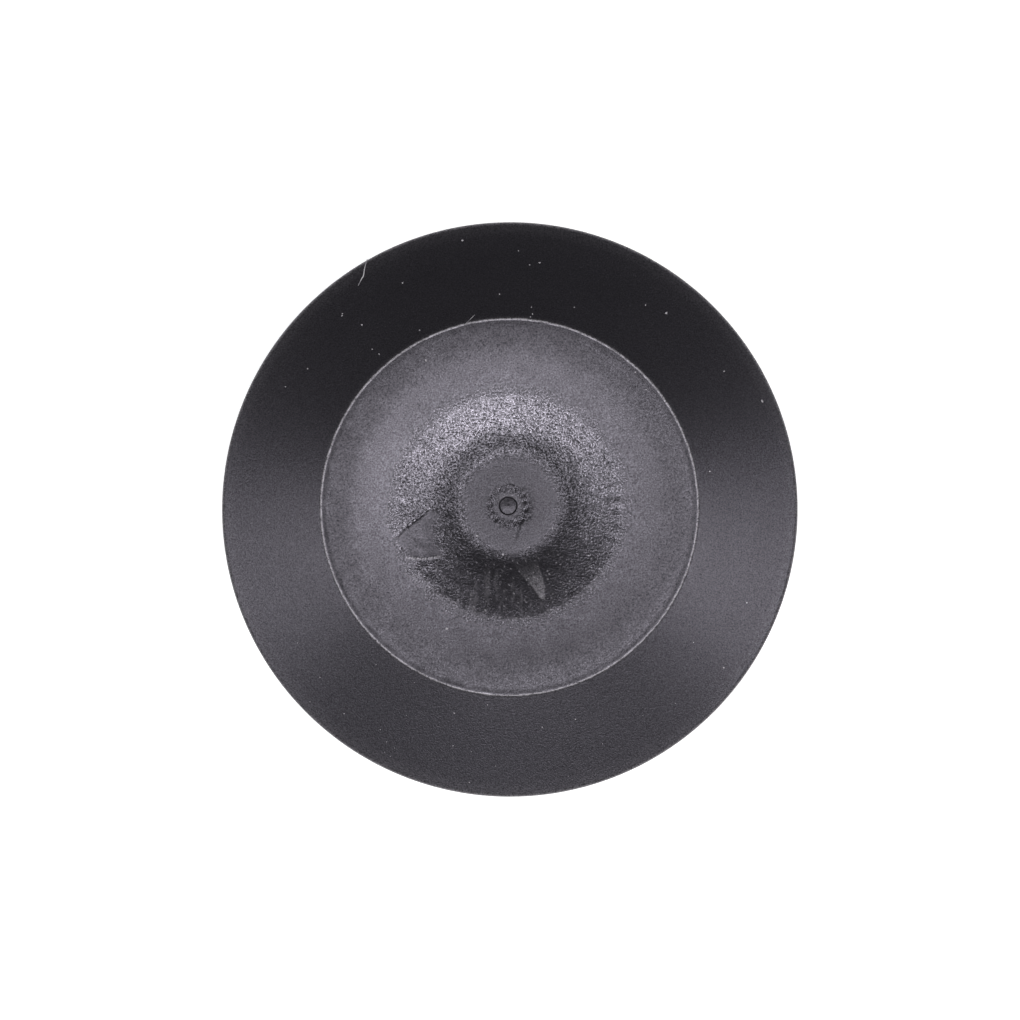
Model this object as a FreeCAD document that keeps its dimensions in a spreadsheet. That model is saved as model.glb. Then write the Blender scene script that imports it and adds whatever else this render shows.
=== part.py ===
# Push-in hole plug for a 19 mm sheet-metal hole, moulded in one piece.
# A round head with a sloping flange closes the hole and seals on its lip.
# A hollow barrel with a snap bead goes through the hole and holds the head down.
# Millimetres. +Z runs along the plug's axis, from the open end of the barrel to the head.
# The origin is on the axis, at the open end.

import FreeCAD
import Part
import Sketcher
import os

NODE = "hole_plug"

# Driving dimensions, lengths in millimetres and angles in degrees
SIZES = {
    # head, seen from above
    "head_diameter": 28.6,
    "rim_diameter": 18.57,
    "crest_diameter": 16.8,
    "break_diameter": 11.06,
    "disc_diameter": 5.1,
    # head, in section
    "cone_angle": 14.5,
    "lip_height": 0.85,
    "lip_land": 0.9,
    "flange_wall": 1.0,
    "centre_wall": 1.5,
    "rim_drop": 0.025,
    "break_depth": 0.126,
    "disc_depth": 0.65,
    "dish_radius": 29.0,
    "flash_width": 0.12,
    "flash_height": 0.05,
    # gate mark in the middle of the disc
    "gate_diameter": 0.92,
    "gate_floor_diameter": 0.7,
    "gate_depth": 0.22,
    "nub_diameter": 0.16,
    "nub_height": 0.04,
    # barrel
    "barrel_depth": 7.6,
    "neck_diameter": 18.6,
    "neck_length": 1.6,
    "shoulder_length": 1.4,
    "bead_diameter": 19.9,
    "bead_land": 0.5,
    "end_diameter": 17.8,
    "barrel_wall": 1.3,
    "bore_draft": 1.0,
    # rounded and broken edges
    "lip_top_round": 0.15,
    "disc_round": 1.2,
    "bead_round": 0.6,
    "neck_root_break": 0.4,
    "lip_under_break": 0.2,
    "end_outer_break": 0.2,
    "end_inner_break": 0.15,
    "ceiling_break": 0.6,
}

doc = FreeCAD.newDocument(NODE)
sheet = doc.addObject("Spreadsheet::Sheet", "dims")
for row, (alias, value) in enumerate(SIZES.items(), start=1):
    sheet.set(f"A{row}", alias)
    sheet.set(f"B{row}", str(value))
    sheet.setAlias(f"B{row}", alias)
doc.recompute()

# Radii of the section, as formulas on the sheet
AXIS = "0"
HEAD_R = "dims.head_diameter / 2"
LAND_R = f"({HEAD_R} - dims.lip_land)"
RIM_R = "dims.rim_diameter / 2"
CREST_R = "dims.crest_diameter / 2"
BREAK_R = "dims.break_diameter / 2"
DISC_R = "dims.disc_diameter / 2"
NECK_R = "dims.neck_diameter / 2"
BEAD_R = "dims.bead_diameter / 2"
END_R = "dims.end_diameter / 2"
BORE_R = f"({NECK_R} - dims.barrel_wall)"
GATE_R = "dims.gate_diameter / 2"
GATE_FLOOR_R = "dims.gate_floor_diameter / 2"
NUB_R = "dims.nub_diameter / 2"
FLASH_IN_R = f"({RIM_R} - dims.flash_width / 2)"
FLASH_OUT_R = f"({RIM_R} + dims.flash_width / 2)"

# Heights of the section, from the open end up
OPEN_END = "0"
SEAT = "dims.barrel_depth"
LIP = f"({SEAT} + dims.lip_height)"
RIM = f"({LIP} + ({HEAD_R} - {RIM_R}) * tan(dims.cone_angle))"
CREST = f"({RIM} + dims.rim_drop)"
BREAK = f"({CREST} - dims.break_depth)"
DISC = f"({CREST} - dims.disc_depth)"
UNDER_FLANGE = f"({RIM} - dims.flange_wall)"
ROOF = f"({CREST} - dims.centre_wall)"
ROOF_CENTRE = f"({DISC} - dims.centre_wall)"
GATE_FLOOR = f"({DISC} - dims.gate_depth)"
NUB_TOP = f"({GATE_FLOOR} + dims.nub_height)"
NECK_END = f"({SEAT} - dims.neck_length)"
SHOULDER_END = f"({NECK_END} - dims.shoulder_length)"
BEAD_END = f"({SHOULDER_END} - dims.bead_land)"
FLASH_TOP = f"({RIM} + dims.flash_height)"
FLASH_ROOT = f"({RIM} - dims.flash_width)"
MOUTH_R = f"({BORE_R} + {ROOF} * tan(dims.bore_draft))"


def tangent_radius(run, drop):
    """Radius of an arc that starts level and falls by drop over run."""
    return f"(({run})^2 + ({drop})^2) / (2 * ({drop}))"


RIM_ARC = tangent_radius(f"{RIM_R} - {CREST_R}", "dims.rim_drop")
CREST_ARC = tangent_radius(f"{CREST_R} - {BREAK_R}", "dims.break_depth")
DISH_ARC = "dims.dish_radius"


def number(formula):
    """Value of a formula on the sheet, as a plain number."""
    value = sheet.evalExpression(formula)
    return float(getattr(value, "Value", value))


def origin_feature(body, role):
    """The body's own origin plane or axis with this role."""
    return next(f for f in body.Origin.OriginFeatures if f.Role == role)


def crown(start, end, radius):
    """Middle point of an arc of this radius that bulges up between two points."""
    half_chord = (end - start) / 2
    bulge = radius - (radius**2 - half_chord.Length**2) ** 0.5
    outward = FreeCAD.Vector(half_chord.y, -half_chord.x, 0).normalize()
    return start + half_chord + outward * bulge


def bind(sketch, kind, *geometry, formula):
    """Add one dimension to a sketch and tie it to its formula."""
    index = sketch.addConstraint(Sketcher.Constraint(kind, *geometry, number(formula)))
    sketch.setExpression(f"Constraints[{index}]", formula)


def round_corner(sketch, points, corner, formula):
    """Round one corner between two straight edges, which keep their sharp meeting point."""
    ahead = (corner + 1) % len(points)
    on_last_edge = (points[corner] + points[corner - 1]) / 2
    on_next_edge = (points[corner] + points[ahead]) / 2
    last_edge = (corner - 1) % len(points)
    drawn = sketch.GeometryCount
    sketch.fillet(last_edge, corner, on_last_edge, on_next_edge, number(formula), True, True)
    added = range(drawn, sketch.GeometryCount)
    arc = next(g for g in added if isinstance(sketch.Geometry[g], Part.ArcOfCircle))
    bind(sketch, "Radius", arc, formula=formula)


def section(body, name, corners, arcs=None, rounds=None):
    """Closed half-section in the XZ plane, drawn anticlockwise.

    corners holds (radius, height) formulas. Edge n runs from corner n to the next.
    arcs maps an edge's number to its radius, for an edge that bulges up.
    rounds maps a corner's number to the radius that it is rounded to.
    """
    arcs = arcs or {}
    rounds = rounds or {}
    sketch = body.newObject("Sketcher::SketchObject", name)
    sketch.AttachmentSupport = [(origin_feature(body, "XZ_Plane"), "")]
    sketch.MapMode = "FlatFace"
    points = [FreeCAD.Vector(number(r), number(z), 0) for r, z in corners]
    following = points[1:] + points[:1]
    for edge, (start, end) in enumerate(zip(points, following)):
        if edge in arcs:
            middle = crown(start, end, number(arcs[edge]))
            sketch.addGeometry(Part.Arc(start, middle, end), False)
        else:
            sketch.addGeometry(Part.LineSegment(start, end), False)
    for edge, (radius, height) in enumerate(corners):
        next_edge = (edge + 1) % len(corners)
        sketch.addConstraint(Sketcher.Constraint("Coincident", edge, 2, next_edge, 1))
        if radius == AXIS:
            sketch.addConstraint(Sketcher.Constraint("PointOnObject", edge, 1, -2))
        else:
            bind(sketch, "DistanceX", -1, 1, edge, 1, formula=radius)
        if height == OPEN_END:
            sketch.addConstraint(Sketcher.Constraint("PointOnObject", edge, 1, -1))
        else:
            bind(sketch, "DistanceY", -1, 1, edge, 1, formula=height)
        if edge in arcs:
            bind(sketch, "Radius", edge, formula=arcs[edge])
    doc.recompute()
    for corner, radius in rounds.items():
        round_corner(sketch, points, corner, radius)
    return sketch


def turned(body, kind, name, profile):
    """Turn a half-section right round the axis, to add material or to cut it."""
    before = body.Shape.Volume if body.Tip else 0
    feature = body.newObject(kind, name)
    feature.Profile = profile
    feature.ReferenceAxis = (profile, ["V_Axis"])
    feature.Angle = 360
    profile.Visibility = False
    doc.recompute()
    change = body.Shape.Volume - before
    grows = kind == "PartDesign::Revolution"
    if (change > 0) != grows:
        raise RuntimeError(f"{name} changed the volume by {change:.4f}")
    return feature


def ring_edges(shape, rings):
    """Names of the circular edges at these (radius, height) formulas."""
    wanted = [(number(r), number(z)) for r, z in rings]
    names = []
    for radius, height in wanted:
        best = min(
            (e for e in enumerate(shape.Edges, start=1) if isinstance(e[1].Curve, Part.Circle)),
            key=lambda e: abs(e[1].Curve.Radius - radius) + abs(e[1].Curve.Center.z - height),
        )
        names.append(f"Edge{best[0]}")
    return names


def rounded(body, name, size, *rings):
    """Round the circular edges at these (radius, height) formulas."""
    base = body.Tip
    fillet = body.newObject("PartDesign::Fillet", name)
    fillet.Base = (base, ring_edges(base.Shape, rings))
    fillet.setExpression("Radius", size)
    doc.recompute()
    return fillet


def broken(body, name, size, *rings):
    """Chamfer the circular edges at these (radius, height) formulas."""
    base = body.Tip
    chamfer = body.newObject("PartDesign::Chamfer", name)
    chamfer.Base = (base, ring_edges(base.Shape, rings))
    chamfer.setExpression("Size", size)
    doc.recompute()
    return chamfer


plug = doc.addObject("PartDesign::Body", NODE)
plug.Label = NODE
plug.Placement = FreeCAD.Placement()

# Head: level sealing lip, flange sloping up to the rim, low crown and dished centre
HEAD_SECTION = [
    (AXIS, SEAT),
    (HEAD_R, SEAT),
    (HEAD_R, LIP),
    (RIM_R, RIM),
    (CREST_R, CREST),
    (BREAK_R, BREAK),
    (DISC_R, DISC),
    (AXIS, DISC),
]
HEAD_ARCS = {3: RIM_ARC, 4: CREST_ARC, 5: DISH_ARC}
HEAD_ROUNDS = {2: "dims.lip_top_round"}
head = section(plug, "head_section", HEAD_SECTION, HEAD_ARCS, HEAD_ROUNDS)
turned(plug, "PartDesign::Revolution", "head", head)

# Barrel: neck for the panel, shoulder that draws the head down, bead and lead-in
BARREL_SECTION = [
    (AXIS, OPEN_END),
    (END_R, OPEN_END),
    (BEAD_R, BEAD_END),
    (BEAD_R, SHOULDER_END),
    (NECK_R, NECK_END),
    (NECK_R, LIP),
    (AXIS, LIP),
]
barrel = section(plug, "barrel_section", BARREL_SECTION)
turned(plug, "PartDesign::Revolution", "barrel", barrel)

# Relief under the flange, which leaves a level land at the lip and lets the flange flex
RELIEF_SECTION = [
    (NECK_R, SEAT),
    (LAND_R, SEAT),
    (NECK_R, UNDER_FLANGE),
]
relief = section(plug, "relief_section", RELIEF_SECTION)
turned(plug, "PartDesign::Groove", "flange_relief", relief)

# Hollow of the barrel, with draft, under a roof that follows the dish
HOLLOW_SECTION = [
    (AXIS, OPEN_END),
    (MOUTH_R, OPEN_END),
    (BORE_R, ROOF),
    (DISC_R, ROOF_CENTRE),
    (AXIS, ROOF_CENTRE),
]
hollow = section(plug, "hollow_section", HOLLOW_SECTION)
turned(plug, "PartDesign::Groove", "hollow", hollow)

# Remaining edges: soft where the bead slides through the hole, broken elsewhere
rounded(plug, "disc_edge", "dims.disc_round", (DISC_R, DISC))
rounded(plug, "bead_edges", "dims.bead_round", (BEAD_R, BEAD_END), (BEAD_R, SHOULDER_END))
broken(plug, "neck_root", "dims.neck_root_break", (NECK_R, UNDER_FLANGE))
broken(plug, "lip_under_edge", "dims.lip_under_break", (HEAD_R, SEAT))
broken(plug, "end_outer_edge", "dims.end_outer_break", (END_R, OPEN_END))
broken(plug, "end_inner_edge", "dims.end_inner_break", (MOUTH_R, OPEN_END))
broken(plug, "ceiling_corner", "dims.ceiling_break", (BORE_R, ROOF))

# Gate mark: a small crater with a cone-shaped nub where the moulding broke from its feed
CRATER_SECTION = [
    (AXIS, GATE_FLOOR),
    (GATE_FLOOR_R, GATE_FLOOR),
    (GATE_R, DISC),
    (AXIS, DISC),
]
crater = section(plug, "crater_section", CRATER_SECTION)
turned(plug, "PartDesign::Groove", "gate_crater", crater)

NUB_SECTION = [
    (AXIS, GATE_FLOOR),
    (NUB_R, GATE_FLOOR),
    (AXIS, NUB_TOP),
]
nub = section(plug, "nub_section", NUB_SECTION)
turned(plug, "PartDesign::Revolution", "gate_nub", nub)

# Flash line at the rim, where two parts of the mould met
FLASH_SECTION = [
    (FLASH_IN_R, FLASH_ROOT),
    (FLASH_OUT_R, FLASH_ROOT),
    (RIM_R, FLASH_TOP),
]
flash = section(plug, "flash_section", FLASH_SECTION)
turned(plug, "PartDesign::Revolution", "flash_line", flash)

doc.recompute()
for item in doc.Objects:
    if "Invalid" in item.State or "Error" in item.State:
        raise RuntimeError(f"{item.Name} failed: {item.State}")
if plug.Shape.isNull() or not plug.Shape.isValid():
    raise RuntimeError(f"{NODE} has no valid shape")
if len(plug.Shape.Solids) != 1:
    raise RuntimeError(f"{NODE} has {len(plug.Shape.Solids)} solids, not one")

os.makedirs("parts", exist_ok=True)
plug.Shape.exportStep(f"parts/{plug.Label}.step")

box = plug.Shape.optimalBoundingBox()
print(f"{plug.Label}: {box.XLength:.3f} x {box.YLength:.3f} x {box.ZLength:.3f} mm,", end=" ")
print(f"{plug.Shape.Volume:.2f} mm3, {len(plug.Shape.Faces)} faces")
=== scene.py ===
"""Dresses the moulded hole plug: its one moulding with the marks and dust on it, the light and the camera."""

import logging
import math
from dataclasses import dataclass
from enum import Enum

import bpy
import numpy as np
from mathutils import Matrix, Vector


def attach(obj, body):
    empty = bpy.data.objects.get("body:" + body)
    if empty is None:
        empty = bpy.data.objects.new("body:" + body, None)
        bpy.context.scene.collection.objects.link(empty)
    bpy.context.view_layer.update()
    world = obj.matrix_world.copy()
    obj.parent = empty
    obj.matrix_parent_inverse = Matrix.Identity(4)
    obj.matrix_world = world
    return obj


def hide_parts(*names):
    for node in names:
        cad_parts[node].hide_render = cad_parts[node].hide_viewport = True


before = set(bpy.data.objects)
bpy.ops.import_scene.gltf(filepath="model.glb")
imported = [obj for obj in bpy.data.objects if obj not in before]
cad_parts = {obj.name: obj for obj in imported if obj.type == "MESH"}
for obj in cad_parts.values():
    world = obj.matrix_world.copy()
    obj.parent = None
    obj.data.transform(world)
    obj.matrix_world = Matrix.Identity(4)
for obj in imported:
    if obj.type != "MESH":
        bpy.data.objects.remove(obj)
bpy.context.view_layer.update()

LOG = logging.getLogger("hole_plug")
MM = 0.001
BODY = "root"
NODE = "hole_plug"
SEED = 7

Point = tuple[float, float]

UP: Point = (0.0, 1.0)
DOWN: Point = (0.0, -1.0)
RIGHT: Point = (1.0, 0.0)
# the width over which a zone with a sharp border starts or ends, mm
SHARP = 0.001
# a hump of the noise is this wide, as a share of the noise's cell
NOISE_HUMP = 0.65


def linear_colour(hex_colour: str) -> tuple[float, float, float, float]:
    """Turns an sRGB hex colour into the linear values that the shaders take.

    Args:
        hex_colour: a colour such as "#1D1C1F".

    Returns:
        Linear red, green and blue, with an alpha of 1.
    """
    channels = [int(hex_colour[i:i + 2], 16) / 255 for i in (1, 3, 5)]
    linear = [c / 12.92 if c <= 0.04045 else ((c + 0.055) / 1.055) ** 2.4 for c in channels]
    return (linear[0], linear[1], linear[2], 1.0)


def add_node(tree: bpy.types.NodeTree, kind: str, values: dict | None = None,
             links: dict | None = None) -> bpy.types.Node:
    """Adds one node with its settings and its incoming links.

    Args:
        tree: the node tree that gets the node.
        kind: the node's type name.
        values: what to set: lower-case names are the node's settings, other names and numbers are sockets.
        links: for each input socket, by name or number, the output socket that feeds it.

    Returns:
        The new node.
    """
    node = tree.nodes.new(kind)
    for name, value in (values or {}).items():
        if isinstance(name, str) and name[0].islower():
            setattr(node, name, value)
        else:
            node.inputs[name].default_value = value
    for name, output in (links or {}).items():
        tree.links.new(output, node.inputs[name])
    return node


def new_material(name: str) -> tuple[bpy.types.Material, bpy.types.NodeTree]:
    """Makes an empty node material.

    Args:
        name: the material's name.

    Returns:
        The material and its node tree.
    """
    material = bpy.data.materials.new(name)
    material.use_nodes = True
    material.node_tree.nodes.clear()
    return material, material.node_tree


def new_piece(name: str, points: list, faces: list[tuple[int, ...]],
              material: bpy.types.Material) -> bpy.types.Object:
    """Makes a smooth-shaded object of one mesh with one material.

    Args:
        name: the piece's name.
        points: the corners, m.
        faces: each face's corners.
        material: what it is made of.

    Returns:
        The object, linked to the scene.
    """
    mesh = bpy.data.meshes.new(name)
    mesh.from_pydata(points, [], faces)
    mesh.shade_smooth()
    mesh.materials.append(material)
    piece = bpy.data.objects.new(name, mesh)
    bpy.context.scene.collection.objects.link(piece)
    return piece


def strip_faces(first: int, sides: int, rings: int, flipped: bool = False) -> list[tuple[int, ...]]:
    """Joins closed rings of corners that follow one another.

    Args:
        first: the first ring's first corner.
        sides: how many corners each ring has.
        rings: how many rings there are.
        flipped: whether the faces look the other way.

    Returns:
        The faces between the rings.
    """
    faces: list[tuple[int, ...]] = []
    for ring in range(rings - 1):
        a = first + ring * sides
        b = a + sides
        for i in range(sides):
            j = (i + 1) % sides
            faces.append((a + i, a + j, b + j, b + i) if flipped else (a + i, b + i, b + j, a + j))
    return faces


def two_tone(name: str, dark: str, light: str, roughness: float, kind: str,
             pattern: dict[str, float]) -> bpy.types.Material:
    """Makes a dull material of two tones that a pattern mixes.

    Args:
        name: the material's name.
        dark: the darker tone, as an sRGB hex colour.
        light: the lighter tone, as an sRGB hex colour.
        roughness: how dull it is.
        kind: the pattern node's type name.
        pattern: the pattern node's values.

    Returns:
        The material.
    """
    material, tree = new_material(name)
    place = add_node(tree, "ShaderNodeTexCoord").outputs["Object"]
    mixed = add_node(tree, kind, pattern, {"Vector": place})
    tone = add_node(tree, "ShaderNodeMix",
                    {"data_type": "RGBA", 6: linear_colour(dark), 7: linear_colour(light)},
                    {0: mixed.outputs["Fac"]})
    shader = add_node(tree, "ShaderNodeBsdfPrincipled", {"Roughness": roughness},
                      {"Base Color": tone.outputs[2]})
    add_node(tree, "ShaderNodeOutputMaterial", links={"Surface": shader.outputs["BSDF"]})
    return material


def smooth_step(value: np.ndarray, low: float | np.ndarray, high: float | np.ndarray) -> np.ndarray:
    """Rises from 0 to 1 with level ends.

    Args:
        value: what is compared with the two ends.
        low: up to where the result is 0.
        high: from where the result is 1.

    Returns:
        The result for each value.
    """
    t = np.clip((value - low) / (high - low), 0.0, 1.0)
    return t * t * (3.0 - 2.0 * t)


def bell(gap: np.ndarray, width: float) -> np.ndarray:
    """Falls from 1 where the gap is 0 to about a third where it is as large as the width."""
    return np.exp(-((gap / width) ** 2))


def read_off(place: np.ndarray, stops: tuple[Point, ...]) -> np.ndarray:
    """Reads values off a line of straight runs.

    Args:
        place: where to read.
        stops: the line's corners, each as a place and the value there.

    Returns:
        The value at each place, which stays the same beyond the line's ends.
    """
    places, values = zip(*stops)
    return np.interp(place, places, values)


@dataclass(frozen=True)
class Ripple:
    """A random relief whose humps are all about one size, as a sum of plane waves.

    Attributes:
        wavelength: from hump to hump, mm.
        seed: picks the pattern.
        height: how strong it is.
        stretch: how much longer the humps are along Y than along X.
        waves: how many waves are added up.
        spread: how much the wavelengths differ, as a share.
    """

    wavelength: float
    seed: int
    height: float = 1.0
    stretch: float = 1.0
    waves: int = 28
    spread: float = 0.35

    def at(self, x: np.ndarray, y: np.ndarray) -> np.ndarray:
        """Gives the relief at some places.

        Args:
            x: distances along X, mm.
            y: distances along Y, mm.

        Returns:
            Values with a mean of 0 and a spread of about the height.
        """
        draw = np.random.default_rng(SEED * 1000 + self.seed)
        headings = draw.uniform(0.0, 2.0 * math.pi, self.waves)
        lengths = self.wavelength * (1.0 + self.spread * draw.uniform(-1.0, 1.0, self.waves))
        phases = draw.uniform(0.0, 2.0 * math.pi, self.waves)
        total = np.zeros_like(x)
        for heading, length, phase in zip(headings, lengths, phases):
            along = x * math.cos(heading) + y * math.sin(heading) / self.stretch
            total += np.cos(2.0 * math.pi * along / length + phase)
        return self.height * total * math.sqrt(2.0 / self.waves)


RAGGED_EDGE = Ripple(0.3, 41)
UNEVEN_LINE = Ripple(0.3, 42, height=0.4)


@dataclass(frozen=True)
class Pattern:
    """Some ripples added up, raised and cut off.

    Attributes:
        ripples: what is added up.
        level: what is added to that.
        kept: the least and the most that is kept of the sum.
    """

    ripples: tuple[Ripple, ...] = ()
    level: float = 0.0
    kept: Point = (-9.0, 9.0)

    def at(self, x: np.ndarray, y: np.ndarray) -> np.ndarray:
        """Gives the pattern at some places.

        Args:
            x: distances along X, mm.
            y: distances along Y, mm.

        Returns:
            The pattern's value for each place.
        """
        return np.clip(self.level + sum(ripple.at(x, y) for ripple in self.ripples), *self.kept)


@dataclass(frozen=True)
class Zone:
    """A part of the top where something about the skin changes, with soft ends.

    Attributes:
        amount: what it adds where it is full.
        starts: where it starts and where it is full, mm from the axis.
        ends: where it begins to fade and where it is gone, mm from the axis.
        band: the middle and the half width of a ring, mm, which it keeps to when that width is above 0.
        heading: which way it lies from the axis, as a vector of length 1.
        along: how far along the heading it starts and is full, mm.
        facing: the same as a share of a place's distance from the axis.
        side: how far its middle lies to the right of the heading, mm.
        across: how far to either side of its middle it begins to fade and is gone, mm.
        pattern: what it is broken up by.
    """

    amount: float
    starts: Point = (-2.0, -1.0)
    ends: Point = (98.0, 99.0)
    band: Point = (0.0, 0.0)
    heading: Point = DOWN
    along: Point = (-99.0, -98.0)
    facing: Point = (-99.0, -98.0)
    side: float = 0.0
    across: Point = (98.0, 99.0)
    pattern: Pattern = Pattern(level=1.0)

    def at(self, x: np.ndarray, y: np.ndarray, r: np.ndarray) -> np.ndarray:
        """Gives what the zone adds at some places.

        Args:
            x: distances along X, mm.
            y: distances along Y, mm.
            r: distances from the ring's centre, mm.

        Returns:
            What is added for each place.
        """
        reach = x * self.heading[0] + y * self.heading[1]
        aside = np.abs(x * self.heading[1] - y * self.heading[0] - self.side)
        share = smooth_step(r, *self.starts) * (1.0 - smooth_step(r, *self.ends))
        share *= smooth_step(reach, *self.along) * smooth_step(reach / r, *self.facing)
        share *= 1.0 - smooth_step(aside, *self.across)
        middle, width = self.band
        if width > 0.0:
            share *= bell(r - middle, width)
        return self.amount * share * self.pattern.at(x, y)


def add_up(zones: tuple[Zone, ...], x: np.ndarray, y: np.ndarray, r: np.ndarray) -> np.ndarray:
    """Adds up what some zones add.

    Args:
        zones: the zones.
        x: distances along X, mm.
        y: distances along Y, mm.
        r: distances from the ring's centre, mm.

    Returns:
        The sum for each place.
    """
    return sum(zone.at(x, y, r) for zone in zones)


def distance_to_path(x: np.ndarray, y: np.ndarray, path: list[Point]) -> tuple[np.ndarray, np.ndarray]:
    """Measures how far places lie from a line of straight runs.

    Args:
        x: distances along X, mm.
        y: distances along Y, mm.
        path: the line's points, mm.

    Returns:
        The distance to the line, and how far along it the nearest point is, from 0 to 1.
    """
    nearest = np.full(x.shape, np.inf)
    along = np.zeros(x.shape)
    runs = [math.dist(a, b) for a, b in zip(path, path[1:])]
    passed = 0.0
    for (ax, ay), (bx, by), run in zip(path, path[1:], runs):
        t = np.clip(((x - ax) * (bx - ax) + (y - ay) * (by - ay)) / run**2, 0.0, 1.0)
        gap = np.hypot(x - ax - t * (bx - ax), y - ay - t * (by - ay))
        closer = gap < nearest
        nearest = np.where(closer, gap, nearest)
        along = np.where(closer, (passed + t * run) / sum(runs), along)
        passed += run
    return nearest, along


def inside_outline(x: np.ndarray, y: np.ndarray, outline: list[Point]) -> np.ndarray:
    """Measures how deep places lie inside a closed outline.

    Args:
        x: distances along X, mm.
        y: distances along Y, mm.
        outline: the outline's corners in order, mm.

    Returns:
        The distance to the outline, positive inside and negative outside.
    """
    gap, _ = distance_to_path(x, y, outline + outline[:1])
    inside = np.zeros(x.shape, bool)
    for (ax, ay), (bx, by) in zip(outline, outline[1:] + outline[:1]):
        crosses = (ay > y) != (by > y)
        # a level run crosses nothing, so any rise does for it
        rise = by - ay if by != ay else 1.0
        inside ^= crosses & (x < ax + (y - ay) * (bx - ax) / rise)
    return np.where(inside, gap, -gap)


def rounded_outline(corners: list[tuple[float, float, float]], arc_steps: int = 3) -> list[Point]:
    """Rounds the corners of an open line.

    Args:
        corners: radius from the axis, height and corner round of each corner, mm.
        arc_steps: straight pieces in each round.

    Returns:
        The line's points, with a spare one close to each round, which keeps flat faces flat in shading.
    """
    support = 0.05
    points = [np.array(corners[0][:2])]
    for before, corner, after in zip(corners, corners[1:], corners[2:]):
        at = np.array(corner[:2])
        back = np.array(before[:2]) - at
        ahead = np.array(after[:2]) - at
        back /= np.linalg.norm(back)
        ahead /= np.linalg.norm(ahead)
        half = math.acos(float(np.clip(back @ ahead, -1.0, 1.0))) / 2.0
        reach = corner[2] / math.tan(half)
        centre = at + (back + ahead) / np.linalg.norm(back + ahead) * corner[2] / math.sin(half)
        start = at + back * reach - centre
        end = at + ahead * reach - centre
        turn = math.atan2(start[0] * end[1] - start[1] * end[0], start @ end)
        points.append(at + back * (reach + support))
        for step in range(arc_steps + 1):
            angle = turn * step / arc_steps
            spin = np.array([[math.cos(angle), -math.sin(angle)], [math.sin(angle), math.cos(angle)]])
            points.append(centre + spin @ start)
        points.append(at + ahead * (reach + support))
    points.append(np.array(corners[-1][:2]))
    return [(float(p[0]), float(p[1])) for p in points]


class Texture(Enum):
    """How coarse the moulding's surface is, as the share of the full spark-eroded grain."""

    DISC = 0.2
    DEEP = 1.35
    SLOPE = 0.85
    BREAK = 0.55
    CROWN = 0.24
    FLANGE = 0.0
    TORN = 0.6
    SCUFF = 0.3
    CORE = 0.05


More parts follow.
